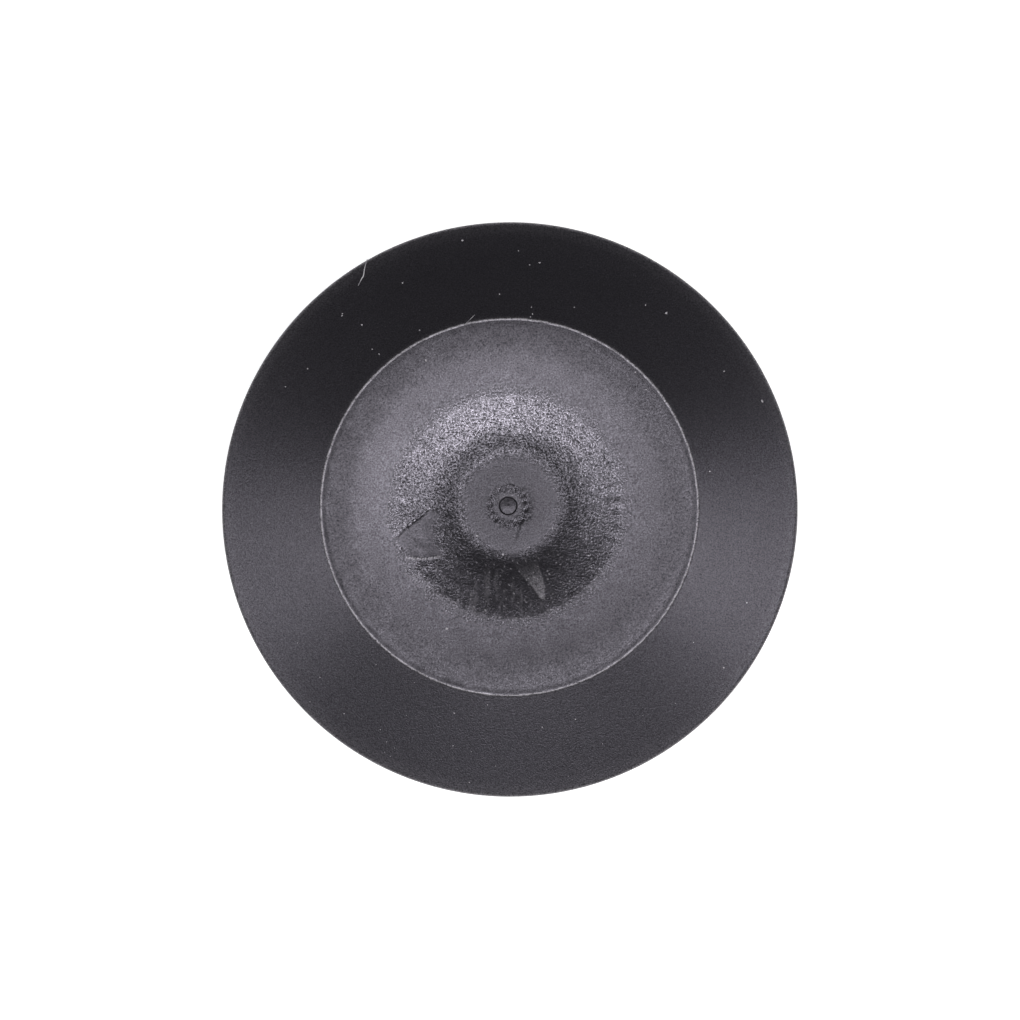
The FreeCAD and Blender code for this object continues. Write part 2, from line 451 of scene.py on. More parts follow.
@dataclass(frozen=True)
class Polyethylene:
    """Black low-density polyethylene, injection moulded in a spark-eroded and a blasted cavity.

    The eye sees a near-black body whose colour comes almost wholly from a soft reflection, a little violet.
    Inside the rim the reflection breaks up over the spark-eroded grain, and on the flange it stays a fine
    satin. Widths and heights are in mm.
    """

    colour: str = "#1B1A1D"
    # the pale colour of blanched skin, which also paints highlights and glints
    blanched_and_highlight_colour: str = "#8F8C91"
    reflection_tint: str = "#F5EFFF"
    ior: float = 1.51
    plain_level: float = 0.5
    satin_roughness: float = 0.282
    grain_roughness: float = 0.19
    satin_share: float = 0.4
    gloss_drift: float = 0.005
    grain_width: float = 0.14
    grain_height: float = 0.0145
    # painted shade: how much the reflection is darkened in the pits of the grain, and in the deepest grain
    pit_shade: float = 4.9
    deep_shade: float = 0.42
    satin_width: float = 0.11
    satin_height: float = 0.0055
    mottle_width: float = 2.4
    bead_contrast: float = 3.5

    def material(self) -> bpy.types.Material:
        """Builds the node material.

        Returns:
            The material, which reads from the mesh the strengths of grain, of painted shade and sheen with
            the crown's mottle, and of blanch with painted highlights.
        """
        material, tree = new_material("moulded_black_polyethylene")
        place = add_node(tree, "ShaderNodeTexCoord").outputs["Object"]
        grain_share = self.stored(tree, "grain")
        # the grain of an eroded cavity: rounded pits close together, drawn at their true width
        grain = add_node(tree, "ShaderNodeTexNoise",
                         {"Scale": 1.0 / (self.grain_width * MM * NOISE_HUMP),
                          "Detail": 1.5, "Roughness": 0.5},
                         {"Vector": place})
        # the blasted flange: a finer and much lower grain
        satin = add_node(tree, "ShaderNodeTexNoise",
                         {"Scale": 1.0 / (self.satin_width * MM * NOISE_HUMP),
                          "Detail": 1.0, "Roughness": 0.5},
                         {"Vector": place})
        grain_relief = add_node(tree, "ShaderNodeMath", {"operation": "MULTIPLY"},
                                {0: self.centred(tree, grain, 1.0), 1: grain_share})
        relief = add_node(tree, "ShaderNodeMath", {"operation": "ADD"},
                          {0: grain_relief.outputs[0],
                           1: self.centred(tree, satin, self.satin_height / self.grain_height)})
        bump = add_node(tree, "ShaderNodeBump", {"Strength": 1.0, "Distance": self.grain_height * MM},
                        {"Height": relief.outputs[0]})
        # slow changes of gloss, as the melt froze against the cavity
        mottle = add_node(tree, "ShaderNodeTexNoise",
                          {"Scale": 1.0 / (self.mottle_width * MM), "Detail": 3.0}, {"Vector": place})
        drift = add_node(tree, "ShaderNodeMapRange",
                         {"From Min": 0.3, "From Max": 0.7,
                          "To Min": -self.gloss_drift, "To Max": self.gloss_drift},
                         {"Value": mottle.outputs["Fac"]})
        gloss = add_node(tree, "ShaderNodeMapRange",
                         {"From Min": self.satin_share, "To Min": self.satin_roughness,
                          "To Max": self.grain_roughness},
                         {"Value": grain_share})
        roughness = add_node(tree, "ShaderNodeMath", {"operation": "ADD"},
                             {0: gloss.outputs["Result"], 1: drift.outputs["Result"]})
        shader = add_node(tree, "ShaderNodeBsdfPrincipled",
                          {"Specular Tint": linear_colour(self.reflection_tint), "IOR": self.ior},
                          {"Base Color": self.body_colour(tree, satin), "Roughness": roughness.outputs[0],
                           "Normal": bump.outputs["Normal"],
                           "Specular IOR Level": self.reflection_level(tree, relief)})
        add_node(tree, "ShaderNodeOutputMaterial", links={"Surface": shader.outputs["BSDF"]})
        return material

    def reflection_level(self, tree: bpy.types.NodeTree, relief: bpy.types.Node) -> bpy.types.NodeSocket:
        """Paints shade into the reflection where the mesh stores it and in the pits between the grains, and
        paints a sheen where the stored share is below 0.

        Args:
            tree: the material's node tree.
            relief: the node that gives the height of the grain.

        Returns:
            The socket with the strength of the reflection.
        """
        # the stored painted shade lowers the reflection, and a painted sheen below 0 raises it
        level = add_node(tree, "ShaderNodeMapRange",
                         {"clamp": False, "To Min": self.plain_level,
                          "To Max": self.plain_level * self.deep_shade},
                         {"Value": self.stored(tree, "painted_light_and_mottle")})
        # painted shade in the pits: the reflection falls where the grain's relief is low
        pits = add_node(tree, "ShaderNodeMath", {"operation": "MULTIPLY_ADD", 1: self.pit_shade, 2: 1.0},
                        {0: relief.outputs[0]})
        return add_node(tree, "ShaderNodeMath", {"operation": "MULTIPLY", "use_clamp": True},
                        {0: level.outputs["Result"], 1: pits.outputs[0]}).outputs[0]

    def body_colour(self, tree: bpy.types.NodeTree, satin: bpy.types.Node) -> bpy.types.NodeSocket:
        """Blanches thin torn skin and the flash line, and paints highlights and glints in the same pale
        colour, more on the tops of the grain than in its pits.

        Args:
            tree: the material's node tree.
            satin: the node that gives the fine grain.

        Returns:
            The socket with the colour of the plastic.
        """
        beads = add_node(tree, "ShaderNodeMath", {"operation": "ADD", 1: 1.0},
                         {0: self.centred(tree, satin, self.bead_contrast)})
        blanch_and_highlight = add_node(tree, "ShaderNodeMath", {"operation": "MULTIPLY", "use_clamp": True},
                          {0: self.stored(tree, "blanch_and_highlight"), 1: beads.outputs[0]})
        return add_node(tree, "ShaderNodeMix",
                        {"data_type": "RGBA", 6: linear_colour(self.colour),
                         7: linear_colour(self.blanched_and_highlight_colour)},
                        {0: blanch_and_highlight.outputs[0]}).outputs[2]

    @staticmethod
    def stored(tree: bpy.types.NodeTree, name: str) -> bpy.types.NodeSocket:
        """Reads a share that is stored on the mesh."""
        return add_node(tree, "ShaderNodeAttribute", {"attribute_name": name}).outputs["Fac"]

    @staticmethod
    def centred(tree: bpy.types.NodeTree, noise: bpy.types.Node, scale: float) -> bpy.types.NodeSocket:
        """Moves a noise so that its mean is 0, and scales it."""
        return add_node(tree, "ShaderNodeMath", {"operation": "MULTIPLY_ADD", 1: scale, 2: -0.5 * scale},
                        {0: noise.outputs["Fac"]}).outputs[0]


@dataclass(frozen=True)
class HouseDust:
    """House dust: mineral grains and plastic swarf, dull and pale with darker crumbs among them."""

    pale: str = "#C9C5CB"
    dark: str = "#6E6A70"
    crumb_width: float = 0.08
    roughness: float = 0.85

    def material(self) -> bpy.types.Material:
        """Builds the node material, with crumbs of two tones."""
        return two_tone("pale_house_dust", self.dark, self.pale, self.roughness, "ShaderNodeTexNoise",
                        {"Scale": 1.0 / (self.crumb_width * MM)})


@dataclass(frozen=True)
class CottonLint:
    """Cotton lint: a soft grey-white fibre, spun and matt, with the light and shade of its twist painted as
    bands.
    """

    light: str = "#B9B6BA"
    shade: str = "#77747A"
    twist_length: float = 0.18
    waves_in_a_unit: float = 6.0
    distortion: float = 2.0
    roughness: float = 0.8

    def material(self) -> bpy.types.Material:
        """Builds the node material, with the painted light and shade of the fibre's twist across it."""
        scale = 1.0 / (self.twist_length * MM * self.waves_in_a_unit)
        return two_tone("cotton_lint", self.shade, self.light, self.roughness, "ShaderNodeTexWave",
                        {"Scale": scale, "Distortion": self.distortion})


@dataclass(frozen=True)
class WhiteSweep:
    """Matt white sweep paper: pale and even, with only a soft shadow where the plug stands on it."""

    colour: str = "#F4F4F4"
    roughness: float = 0.9
    lift: float = 0.62

    def material(self) -> bpy.types.Material:
        """Builds the paper, whose pale look to the camera, in gloss and through glass is partly its own.

        Returns:
            The material: paper that takes light and shadow, with a lift that lights nothing else.
        """
        material, tree = new_material("white_sweep_paper")
        paper = add_node(tree, "ShaderNodeBsdfDiffuse",
                         {"Color": linear_colour(self.colour), "Roughness": self.roughness})
        path = add_node(tree, "ShaderNodeLightPath")
        seen = add_node(tree, "ShaderNodeMath", {"operation": "MAXIMUM"},
                        {0: path.outputs["Is Camera Ray"], 1: path.outputs["Is Glossy Ray"]})
        seen = add_node(tree, "ShaderNodeMath", {"operation": "MAXIMUM"},
                        {0: seen.outputs[0], 1: path.outputs["Is Transmission Ray"]})
        strength = add_node(tree, "ShaderNodeMath", {"operation": "MULTIPLY", 1: self.lift},
                            {0: seen.outputs[0]})
        glow = add_node(tree, "ShaderNodeEmission", {"Color": linear_colour("#FFFFFF")},
                        {"Strength": strength.outputs[0]})
        both = add_node(tree, "ShaderNodeAddShader", links={0: paper.outputs[0], 1: glow.outputs[0]})
        add_node(tree, "ShaderNodeOutputMaterial", links={"Surface": both.outputs[0]})
        return material


@dataclass(frozen=True)
class Scuff:
    """A patch where the skin was dragged: smoother than the grain round it.

    Attributes:
        outline: the patch's corners, mm.
        root: the place where the patch runs out into the surface, mm.
        root_reach: how far round its root it is still hidden, and where it is full, mm.
        edge: how wide its edge is, mm.
        ragged: how uneven its edge is, mm.
        bend: how much it curves up with the distance from its root, mm for each mm squared.
        blanch_and_highlight: how blanched it is, with the painted highlight on its smooth face, from 0 to 1.
    """

    outline: tuple[Point, ...]
    root: Point
    root_reach: Point
    edge: float
    ragged: float = 0.02
    bend: float = 0.0
    blanch_and_highlight: float = 0.0

    def share(self, x: np.ndarray, y: np.ndarray) -> np.ndarray:
        """Gives how much some places belong to the patch.

        Args:
            x: distances along X, mm.
            y: distances along Y, mm.

        Returns:
            1 inside the patch and 0 outside, with its edge and its run-out between.
        """
        inside = inside_outline(x, y, list(self.outline)) + self.ragged * RAGGED_EDGE.at(x, y)
        from_root = np.hypot(x - self.root[0], y - self.root[1])
        return smooth_step(inside, 0.0, self.edge) * smooth_step(from_root, *self.root_reach)

    def height(self, x: np.ndarray, y: np.ndarray) -> np.ndarray:
        """Gives what the patch adds to the surface, mm."""
        return self.share(x, y) * self.bend * ((x - self.root[0]) ** 2 + (y - self.root[1]) ** 2)


@dataclass(frozen=True)
class Groove:
    """A fine line pressed into the surface or standing on it.

    Attributes:
        path: the line's points, mm.
        width: how wide it is, mm.
        depth: how deep it is, mm; below 0 it is a ridge.
        fade: over what share of its length it fades out at its far end.
        tone: the strength of the painted highlight or painted shade that the caller lays along it, where it
            is full.
        tone_width: how far from the line's middle that reaches, mm.
        tone_fade: over what share of its length that fades out at its far end.
    """

    path: tuple[Point, ...]
    width: float
    depth: float
    fade: float = 0.4
    tone: float = 0.0
    tone_width: float = 0.03
    tone_fade: float = 0.0

    def height(self, x: np.ndarray, y: np.ndarray) -> np.ndarray:
        """Gives what the line adds to the surface.

        Args:
            x: distances along X, mm.
            y: distances along Y, mm.

        Returns:
            Heights, mm.
        """
        gap, along = distance_to_path(x, y, list(self.path))
        profile = bell(gap, self.width / 2.0) * (1.0 + UNEVEN_LINE.at(x, y))
        return -self.depth * profile * (1.0 - smooth_step(along, 1.0 - self.fade, 1.0))

    def tone_share(self, x: np.ndarray, y: np.ndarray) -> np.ndarray:
        """Gives how much the line's tone adds.

        Args:
            x: distances along X, mm.
            y: distances along Y, mm.

        Returns:
            The share for each place.
        """
        gap, along = distance_to_path(x, y, list(self.path))
        share = self.tone * bell(gap, self.tone_width)
        if self.tone_fade > 0.0:
            share *= 1.0 - smooth_step(along, 1.0 - self.tone_fade, 1.0)
        return share


@dataclass
class Moulding:
    """The whole plug, one moulding: head, rim, dished centre, gate mark and the hollow barrel below.

    Sizes are in mm and are the same as the solid's. The marks of use and of the mould are added to its top.
    """

    # the head
    head_diameter: float = 28.6
    rim_diameter: float = 18.57
    crest_diameter: float = 16.8
    break_diameter: float = 11.06
    disc_diameter: float = 5.1
    cone_angle: float = 14.5
    rim_drop: float = 0.025
    rim_blend: float = 0.01
    rim_corner_reach: float = 1.05
    disc_depth: float = 0.65
    flange_wall: float = 1.0
    centre_wall: float = 1.5
    # the sealing lip
    lip_height: float = 0.85
    lip_land: float = 0.9
    lip_land_break: float = 0.05
    lip_top_round: float = 0.15
    lip_under_break: float = 0.2
    # the gate's crater with the nub that the broken gate left
    gate_diameter: float = 0.92
    gate_floor_diameter: float = 0.8
    gate_depth: float = 0.22
    nub_diameter: float = 0.16
    nub_height: float = 0.016
    floor_bulge: float = 0.032
    # the barrel
    barrel_depth: float = 7.6
    neck_diameter: float = 18.6
    neck_length: float = 1.6
    neck_root_break: float = 0.4
    neck_end_break: float = 0.1
    shoulder_length: float = 1.4
    bead_diameter: float = 19.9
    bead_land: float = 0.5
    bead_round: float = 0.6
    end_diameter: float = 17.8
    end_outer_break: float = 0.2
    end_inner_break: float = 0.15
    barrel_wall: float = 1.3
    bore_draft: float = 1.0
    ceiling_break: float = 0.6
    ceiling_disc_round: float = 0.8
    ceiling_disc_middle: float = 0.3
    # the top's slopes in degrees, by the distance from the axis
    top_slopes: tuple[Point, ...] = (
        (0.0, 0.0), (2.35, 0.0), (2.95, 9.8), (4.1, 9.8), (5.4, 8.6), (5.65, 3.04), (7.4, 3.04), (8.4, 0.0),
        (9.0, -1.7), (9.31, -3.0), (9.75, -4.9))
    slope_step: float = 0.005
    # the mesh: spans of rings as start, end and spacing, closer where the surface is detailed
    ring_spans: tuple[tuple[float, float, float], ...] = (
        (0.0, 0.36, 0.045), (0.36, 0.5, 0.02), (0.5, 1.3, 0.042), (1.3, 2.2, 0.09), (2.2, 3.0, 0.065),
        (3.0, 5.8, 0.05), (5.8, 8.6, 0.25), (8.6, 9.12, 0.13), (9.12, 9.4, 0.02), (9.4, 9.6, 0.05),
        (9.6, 13.95, 0.4))
    segments: int = 440
    # how far the gate and the disc lie off the axis, shared out by the distance from it
    gate_shift: Point = (-0.07, 0.085)
    disc_shift: Point = (0.067, 0.16)
    shift_stops: tuple[float, ...] = (0.0, 1.2, 2.1, 3.0, 5.4)
    # the uneven borders of the dish and of the disc
    break_waver: Pattern = Pattern((Ripple(0.6, 10, height=0.03),))
    disc_waver: Pattern = Pattern((Ripple(1.6, 12, height=0.03),))
    waver_reach: float = 0.6
    # the flash line of the cavity's insert, thin and uneven
    flash_width: float = 0.13
    flash_height: float = 0.05
    flash_core: float = 0.3
    flash_offset: float = 0.045
    flash_waver: Pattern = Pattern((Ripple(1.1, 6, height=0.003), Ripple(0.3, 20, height=0.003)))
    flash_stand: Pattern = Pattern((Ripple(0.9, 8, height=0.09),), level=0.3, kept=(0.1, 0.6))
    # the flash line's pale line is blanch with a painted highlight
    flash_blanch_and_highlight: Pattern = Pattern((Ripple(0.26, 14, height=0.45),), level=1.15, kept=(0.35, 2.2))
    flash_blanch_and_highlight_core: float = 0.28
    flash_blanch_and_highlight_offset: float = 0.048
    # the torn skin round the gate, further out to the right and less above the gate
    torn_starts: Point = (0.5, 0.85)
    torn_outer: float = 1.16
    torn_lean: float = 0.14
    torn_lean_span: Point = (-0.3, 1.0)
    torn_ends: Point = (-0.2, 0.15)
    torn_depth: float = 0.004
    torn_pattern: Pattern = Pattern((Ripple(0.1, 3, waves=40, height=0.7), Ripple(0.3, 4, height=0.6)),
                                    level=0.6, kept=(0.0, 1.8))
    torn_loss: Zone = Zone(0.3, heading=UP, along=(-0.2, 0.9))
    # the grain's strength by the distance from the axis, and how its borders wander
    textures: tuple[tuple[float, Texture], ...] = (
        (2.1, Texture.DISC), (2.95, Texture.DEEP), (3.1, Texture.DEEP), (4.2, Texture.SLOPE),
        (5.5, Texture.SLOPE), (5.8, Texture.BREAK), (6.4, Texture.CROWN), (9.15, Texture.CROWN),
        (9.3, Texture.FLANGE))
    grain_wander: Pattern = Pattern((Ripple(0.9, 9, height=0.07),))
    # painted shade by the distance from the axis: in the gate's crater, in the deep grain and in the groove
    # inside the rim, with a painted sheen on the crown where below 0
    painted_light_by_radius: tuple[Point, ...] = (
        (0.06, 0.2), (0.13, 0.9), (0.36, 0.9), (0.46, 0.3), (1.7, 0.32), (2.2, 0.15), (2.4, 0.25),
        (2.65, 0.75), (2.85, 1.0), (3.1, 0.95), (3.4, 0.75), (3.7, 0.5), (3.9, 0.3), (4.1, -0.05),
        (5.4, 0.0), (5.8, -0.22), (7.2, 0.0), (8.3, 0.27), (9.04, 0.35), (9.12, 0.75), (9.24, 0.75),
        (9.29, 0.0))
    painted_light_wander: Pattern = Pattern((Ripple(0.7, 16, height=0.08),))
    crown_mottle: Pattern = Pattern((Ripple(0.9, 21, height=0.08), Ripple(2.2, 22, height=0.06)))
    # blanched skin and painted highlights
    grain_haze: float = 0.03
    # painted highlight on the rim of the gate's crater, stronger above it
    gate_rim_highlight: tuple[Point, ...] = ((0.45, 0.0), (0.5, 0.07), (0.6, 0.07), (0.75, 0.0))
    gate_rim_highlight_least: float = 0.4
    gate_rim_highlight_above: Zone = Zone(0.8, heading=UP, along=(-0.2, 0.4))
    edge_haze: tuple[Point, ...] = ((12.4, 0.0), (13.95, 0.012))
    # painted glints over the lower part of the dish
    glint_pattern: Ripple = Ripple(0.16, 18, waves=60)
    glint_tops: Point = (1.8, 2.5)
    # painted highlight on the lip's rounded top edge
    lip_highlight_strength: float = 0.3
    lip_highlight_starts: float = 0.2
    lip_highlight_full: float = 0.05
    lip_highlight_height: float = 0.3
    # the marks of use
    wedge: Scuff = Scuff(
        outline=((-5.7, -1.5), (-5.22, -1.1), (-4.72, -0.7), (-4.22, -0.3), (-3.9, -0.05), (-2.7, -0.6),
                 (-2.7, -2.1), (-3.33, -2.38), (-3.5, -2.5), (-4.1, -2.56), (-4.72, -2.53), (-5.0, -2.46),
                 (-5.4, -2.0)),
        root=(-2.6, -1.3), root_reach=(0.55, 1.6), edge=0.12)
    wedge_fold: Groove = Groove(
        path=((-4.1, -0.17), (-4.22, -0.3), (-4.72, -0.7), (-5.22, -1.1), (-5.75, -1.6)),
        width=0.1, depth=0.025, fade=0.2)
    # the wedge's lip: a low ridge whose bright line is a painted highlight
    wedge_lip: Groove = Groove(
        path=((-3.42, -2.45), (-4.1, -2.56), (-4.6, -2.56), (-5.08, -2.51)),
        width=0.07, depth=-0.012, tone=1.1, tone_width=0.03)
    # the spike is blanched and carries a painted highlight on its smooth face
    spike: Scuff = Scuff(
        outline=((0.1, -2.6), (0.54, -3.33), (1.13, -3.98), (1.53, -4.57), (1.78, -4.58), (1.75, -3.95),
                 (1.64, -3.4), (1.35, -2.6)),
        root=(0.7, -2.4), root_reach=(0.1, 2.6), edge=0.03, ragged=0.003, bend=-0.004, blanch_and_highlight=0.36)
    # the crack: a fine line with painted shade along it
    crack: Groove = Groove(
        path=((0.72, -0.6), (0.52, -0.84), (0.53, -1.03), (0.4, -1.31), (0.33, -1.6), (0.24, -1.83)),
        width=0.08, depth=0.002, tone=1.1, tone_width=0.045, tone_fade=0.3)
    crown_nick: Groove = Groove(path=((1.79, 9.15), (1.95, 8.98), (2.09, 8.8)), width=0.08, depth=-0.02)

    def __post_init__(self) -> None:
        """Works out the levels and radii that follow from the sizes."""
        self.edge_r = self.head_diameter / 2.0
        self.rim_r = self.rim_diameter / 2.0
        self.crest_r = self.crest_diameter / 2.0
        self.break_r = self.break_diameter / 2.0
        self.disc_r = self.disc_diameter / 2.0
        self.slope = math.tan(math.radians(self.cone_angle))
        self.seat_z = self.barrel_depth
        self.lip_z = self.seat_z + self.lip_height
        self.rim_z = self.lip_z + (self.edge_r - self.rim_r) * self.slope
        self.crest_z = self.rim_z + self.rim_drop
        self.profile_r = np.arange(0.0, self.top_slopes[-1][0], self.slope_step)
        rises = np.tan(np.radians(read_off(self.profile_r, self.top_slopes)))
        heights = np.cumsum(rises) * self.slope_step
        self.profile_z = heights - np.interp(self.rim_r, self.profile_r, heights) + self.rim_z

    def cone_height(self, r: np.ndarray) -> np.ndarray:
        """Gives the flange's sloping top, carried on to any radius, mm."""
        return self.rim_z - (r - self.rim_r) * self.slope

    def gate_height(self, r: np.ndarray) -> np.ndarray:
        """Gives what the gate's crater adds to the disc's level.

        Args:
            r: distances from the axis, mm.

        Returns:
            Heights, mm, below 0 in the crater.
        """
        floor_r = self.gate_floor_diameter / 2.0
        wall = smooth_step(r, floor_r, self.gate_diameter / 2.0)
        bulge = self.floor_bulge * np.maximum(1.0 - (r / floor_r) ** 2, 0.0)
        nub = self.nub_height * bell(r, self.nub_diameter / 2.0)
        return -self.gate_depth * (1.0 - wall) + bulge + nub

    def top_height(self, r: np.ndarray) -> np.ndarray:
        """Gives the level of the head's top, without marks.

        Args:
            r: distances from the axis, mm.

        Returns:
            Heights, mm.
        """
        inside = np.interp(r, self.profile_r, self.profile_z)
        cone = self.cone_height(r)
        # the rim's corner is rounded: a soft minimum of the crown and the cone
        head = (inside + cone) / 2.0 - np.sqrt(((inside - cone) / 2.0) ** 2 + self.rim_blend**2 / 4.0)
        head = np.where(r > self.break_r, head, inside)
        return np.where(r > self.rim_r * self.rim_corner_reach, cone, head) + self.gate_height(r)

    def ring_radii(self) -> list[float]:
        """Gives the radii of the top's rings.

        Returns:
            Radii from the first ring round the middle outwards, mm.
        """
        radii: list[float] = []
        for start, end, step in self.ring_spans:
            count = max(1, round((end - start) / step))
            radii += [start + (end - start) * i / count for i in range(count)]
        return radii[1:]

    def lower_outline(self) -> list[Point]:
        """Gives the outline from the flange's outer slope round the lip, down the barrel and up its bore.

        Returns:
            Points as radius and height, mm.
        """
        last_ring = self.ring_spans[-1][1]
        neck_r = self.neck_diameter / 2.0
        bead_r = self.bead_diameter / 2.0
        end_r = self.end_diameter / 2.0
        land_r = self.edge_r - self.lip_land
        roof_z = self.crest_z - self.centre_wall
        disc_z = roof_z - self.disc_depth
        neck_end = self.seat_z - self.neck_length
        shoulder_end = neck_end - self.shoulder_length
        bead_end = shoulder_end - self.bead_land
        under_z = self.rim_z - self.flange_wall
        roof_r = neck_r - self.barrel_wall
        mouth_r = roof_r + roof_z * math.tan(math.radians(self.bore_draft))
        corners = [
            (last_ring, float(self.cone_height(np.array(last_ring))), 0.0),
            (self.edge_r, self.lip_z, self.lip_top_round),
            (self.edge_r, self.seat_z, self.lip_under_break),
            (land_r, self.seat_z, self.lip_land_break),
            (neck_r, under_z, self.neck_root_break),
            (neck_r, neck_end, self.neck_end_break),
            (bead_r, shoulder_end, self.bead_round / 2.0),
            (bead_r, bead_end, self.bead_round / 2.0),
            (end_r, 0.0, self.end_outer_break),
            (mouth_r, 0.0, self.end_inner_break),
            (roof_r, roof_z, self.ceiling_break),
            (self.disc_r, disc_z, self.ceiling_disc_round),
            (self.ceiling_disc_middle, disc_z, 0.0),
        ]
        return rounded_outline(corners)

    def shifted(self, x: np.ndarray, y: np.ndarray) -> tuple[np.ndarray, np.ndarray]:
        """Moves the gate and the disc's edge a little off the axis, as they are on the real plug.

        Args:
            x: distances along X, mm.
            y: distances along Y, mm.

        Returns:
            The moved distances along X and Y, mm.
        """
        r = np.hypot(x, y)
        shifts = (self.gate_shift, self.gate_shift, self.disc_shift, self.disc_shift, (0.0, 0.0))
        shifts_x, shifts_y = zip(*shifts)
        return x + np.interp(r, self.shift_stops, shifts_x), y + np.interp(r, self.shift_stops, shifts_y)

    def inside_rim(self, gap: float = 0.0) -> Point:
        """Gives the ends of a zone that stops sharply at a gap inside the rim, mm."""
        return self.rim_r - gap, self.rim_r - gap + SHARP

    def inside_break(self) -> Point:
        """Gives the ends of a zone that stops sharply at the dish's border, mm."""
        return self.break_r, self.break_r + SHARP

    def wander(self, pattern: Pattern, x: np.ndarray, y: np.ndarray, r: np.ndarray) -> np.ndarray:
        """Lets the borders between the skin's rings wander, inside the crest.

        Args:
            pattern: how far they wander, mm.
            x: distances along X, mm.
            y: distances along Y, mm.
            r: distances from the ring's centre, mm.

        Returns:
            The distances with which each place's share is read, mm.
        """
        return r + Zone(1.0, ends=(self.crest_r, self.crest_r + SHARP), pattern=pattern).at(x, y, r)

    def unevenness(self, around_x: np.ndarray, around_y: np.ndarray, r: np.ndarray) -> np.ndarray:
        """Gives how far the borders of the dish and of the disc lie from a true circle.

        Args:
            around_x: each place's direction from the axis, along X.
            around_y: each place's direction from the axis, along Y.
            r: distances from the ring's centre, mm.

        Returns:
            The distances, mm.
        """
        uneven = self.break_waver.at(self.break_r * around_x, self.break_r * around_y)
        uneven *= bell(r - self.break_r, self.waver_reach)
        disc = self.disc_waver.at(self.break_r * around_x, self.break_r * around_y)
        return uneven + disc * bell(r - self.disc_r, self.waver_reach)

    def relief_zones(self) -> tuple[Zone, ...]:
        """Gives the zones of slow relief, whose amounts are heights in mm."""
        return (
            # the skin inside the rim is a little wavy, and the dish more so
            Zone(0.0012, ends=self.inside_rim(), pattern=Pattern((Ripple(2.6, 1),))),
            Zone(0.0016, starts=(2.4, 3.0), ends=(5.2, 6.2), pattern=Pattern((Ripple(0.8, 2),))),
            # lines dragged outwards over the lower part of the dish
            Zone(0.0015, ends=(5.3, 5.6), along=(3.8, 4.5), side=0.3, across=(1.5, 2.1),
                 pattern=Pattern((Ripple(0.26, 5, stretch=6.0),))),
        )

    def painted_light_and_mottle_zones(self) -> tuple[Zone, ...]:
        """Gives the zones of painted shade beyond their ring's, of painted sheen where below 0, and of the
        crown's mottle.
        """
        mottled = {"starts": (5.8, 6.4), "ends": self.inside_rim(0.05), "pattern": self.crown_mottle}
        beside_flash = (9.19, 0.07)
        return (
            # painted shade in the groove beside the flash line, less towards the upper edge, and on the crown
            # towards the lower edge
            Zone(0.25, band=beside_flash),
            Zone(-0.6, band=beside_flash, heading=UP, along=(2.0, 9.0)),
            Zone(0.15, starts=(7.6, 8.6), ends=self.inside_rim(0.05), along=(-2.0, 4.0)),
            # the crown is mottled, least to the right
            Zone(1.0, **mottled),
            Zone(-0.7, heading=RIGHT, along=(5.0, 7.0), **mottled),
            # a painted sheen on its left side, and a band of painted shade across its lower part
            Zone(-0.36, starts=(5.7, 6.1), ends=(7.4, 8.3), heading=(-0.99, 0.14), facing=(0.75, 0.98)),
            Zone(0.27, band=(7.65, 0.5), heading=(0.29, -0.96), facing=(0.6, 1.0)),
            # a painted sheen on the upper part of the dish
            Zone(-0.33, starts=(3.2, 3.9), ends=(4.9, 5.5), heading=UP, along=(0.5, 3.5)),
            # painted shade on its lower part, which looks away from the lamps and is worn
            Zone(0.35, starts=(2.6, 3.4), ends=(4.5, 5.4), along=(1.8, 3.0)),
        )

    def blanch_and_highlight_zones(self) -> tuple[Zone, ...]:
        """Gives the zones of blanched skin and of painted highlights."""
        return (
            # a painted highlight beside the flash line
            Zone(0.025, band=(self.rim_r + 0.13, 0.07)),
            # faint lines over the lower part of the dish
            Zone(0.06, ends=(5.3, 5.6), along=(2.8, 3.6), side=0.3, across=(1.6, 2.6),
                 pattern=Pattern((Ripple(0.5, 15, stretch=7.0), Ripple(0.2, 17, stretch=3.0, height=0.5)),
                                 level=-0.4, kept=(0.0, 1.8))),
            # painted glints as specks along the dish's lower border
            Zone(0.16, band=(self.break_r, 0.16), along=(2.5, 4.0),
                 pattern=Pattern((Ripple(0.19, 19, waves=40),), kept=(0.0, 2.4))),
            # the eroded grain scatters a little more than the blasted flange, but half that where it is worn
            Zone(self.grain_haze, ends=self.inside_rim()),
            Zone(-self.grain_haze / 2.0, ends=self.inside_break(), along=(2.0, 3.0)),
        )

    def marks(self, x: np.ndarray, y: np.ndarray, r: np.ndarray) -> np.ndarray:
        """Adds up what the mould and the years left on the top.

        Args:
            x: distances along X, mm.
            y: distances along Y, mm.
            r: distances from the centre of the ring that a place belongs to, mm.

        Returns:
            What the marks add to the height, mm.
        """
        height = add_up(self.relief_zones(), x, y, r) - self.torn_depth * self.torn_pits(x, y, r)
        for mark in (self.wedge_fold, self.wedge_lip, self.spike, self.crack, self.crown_nick):
            height += mark.height(x, y)
        gap = r - self.rim_r - self.flash_offset - self.flash_waver.at(x, y)
        stand = self.flash_height * self.flash_stand.at(x, y)
        return height + stand * bell(gap, self.flash_width * self.flash_core)

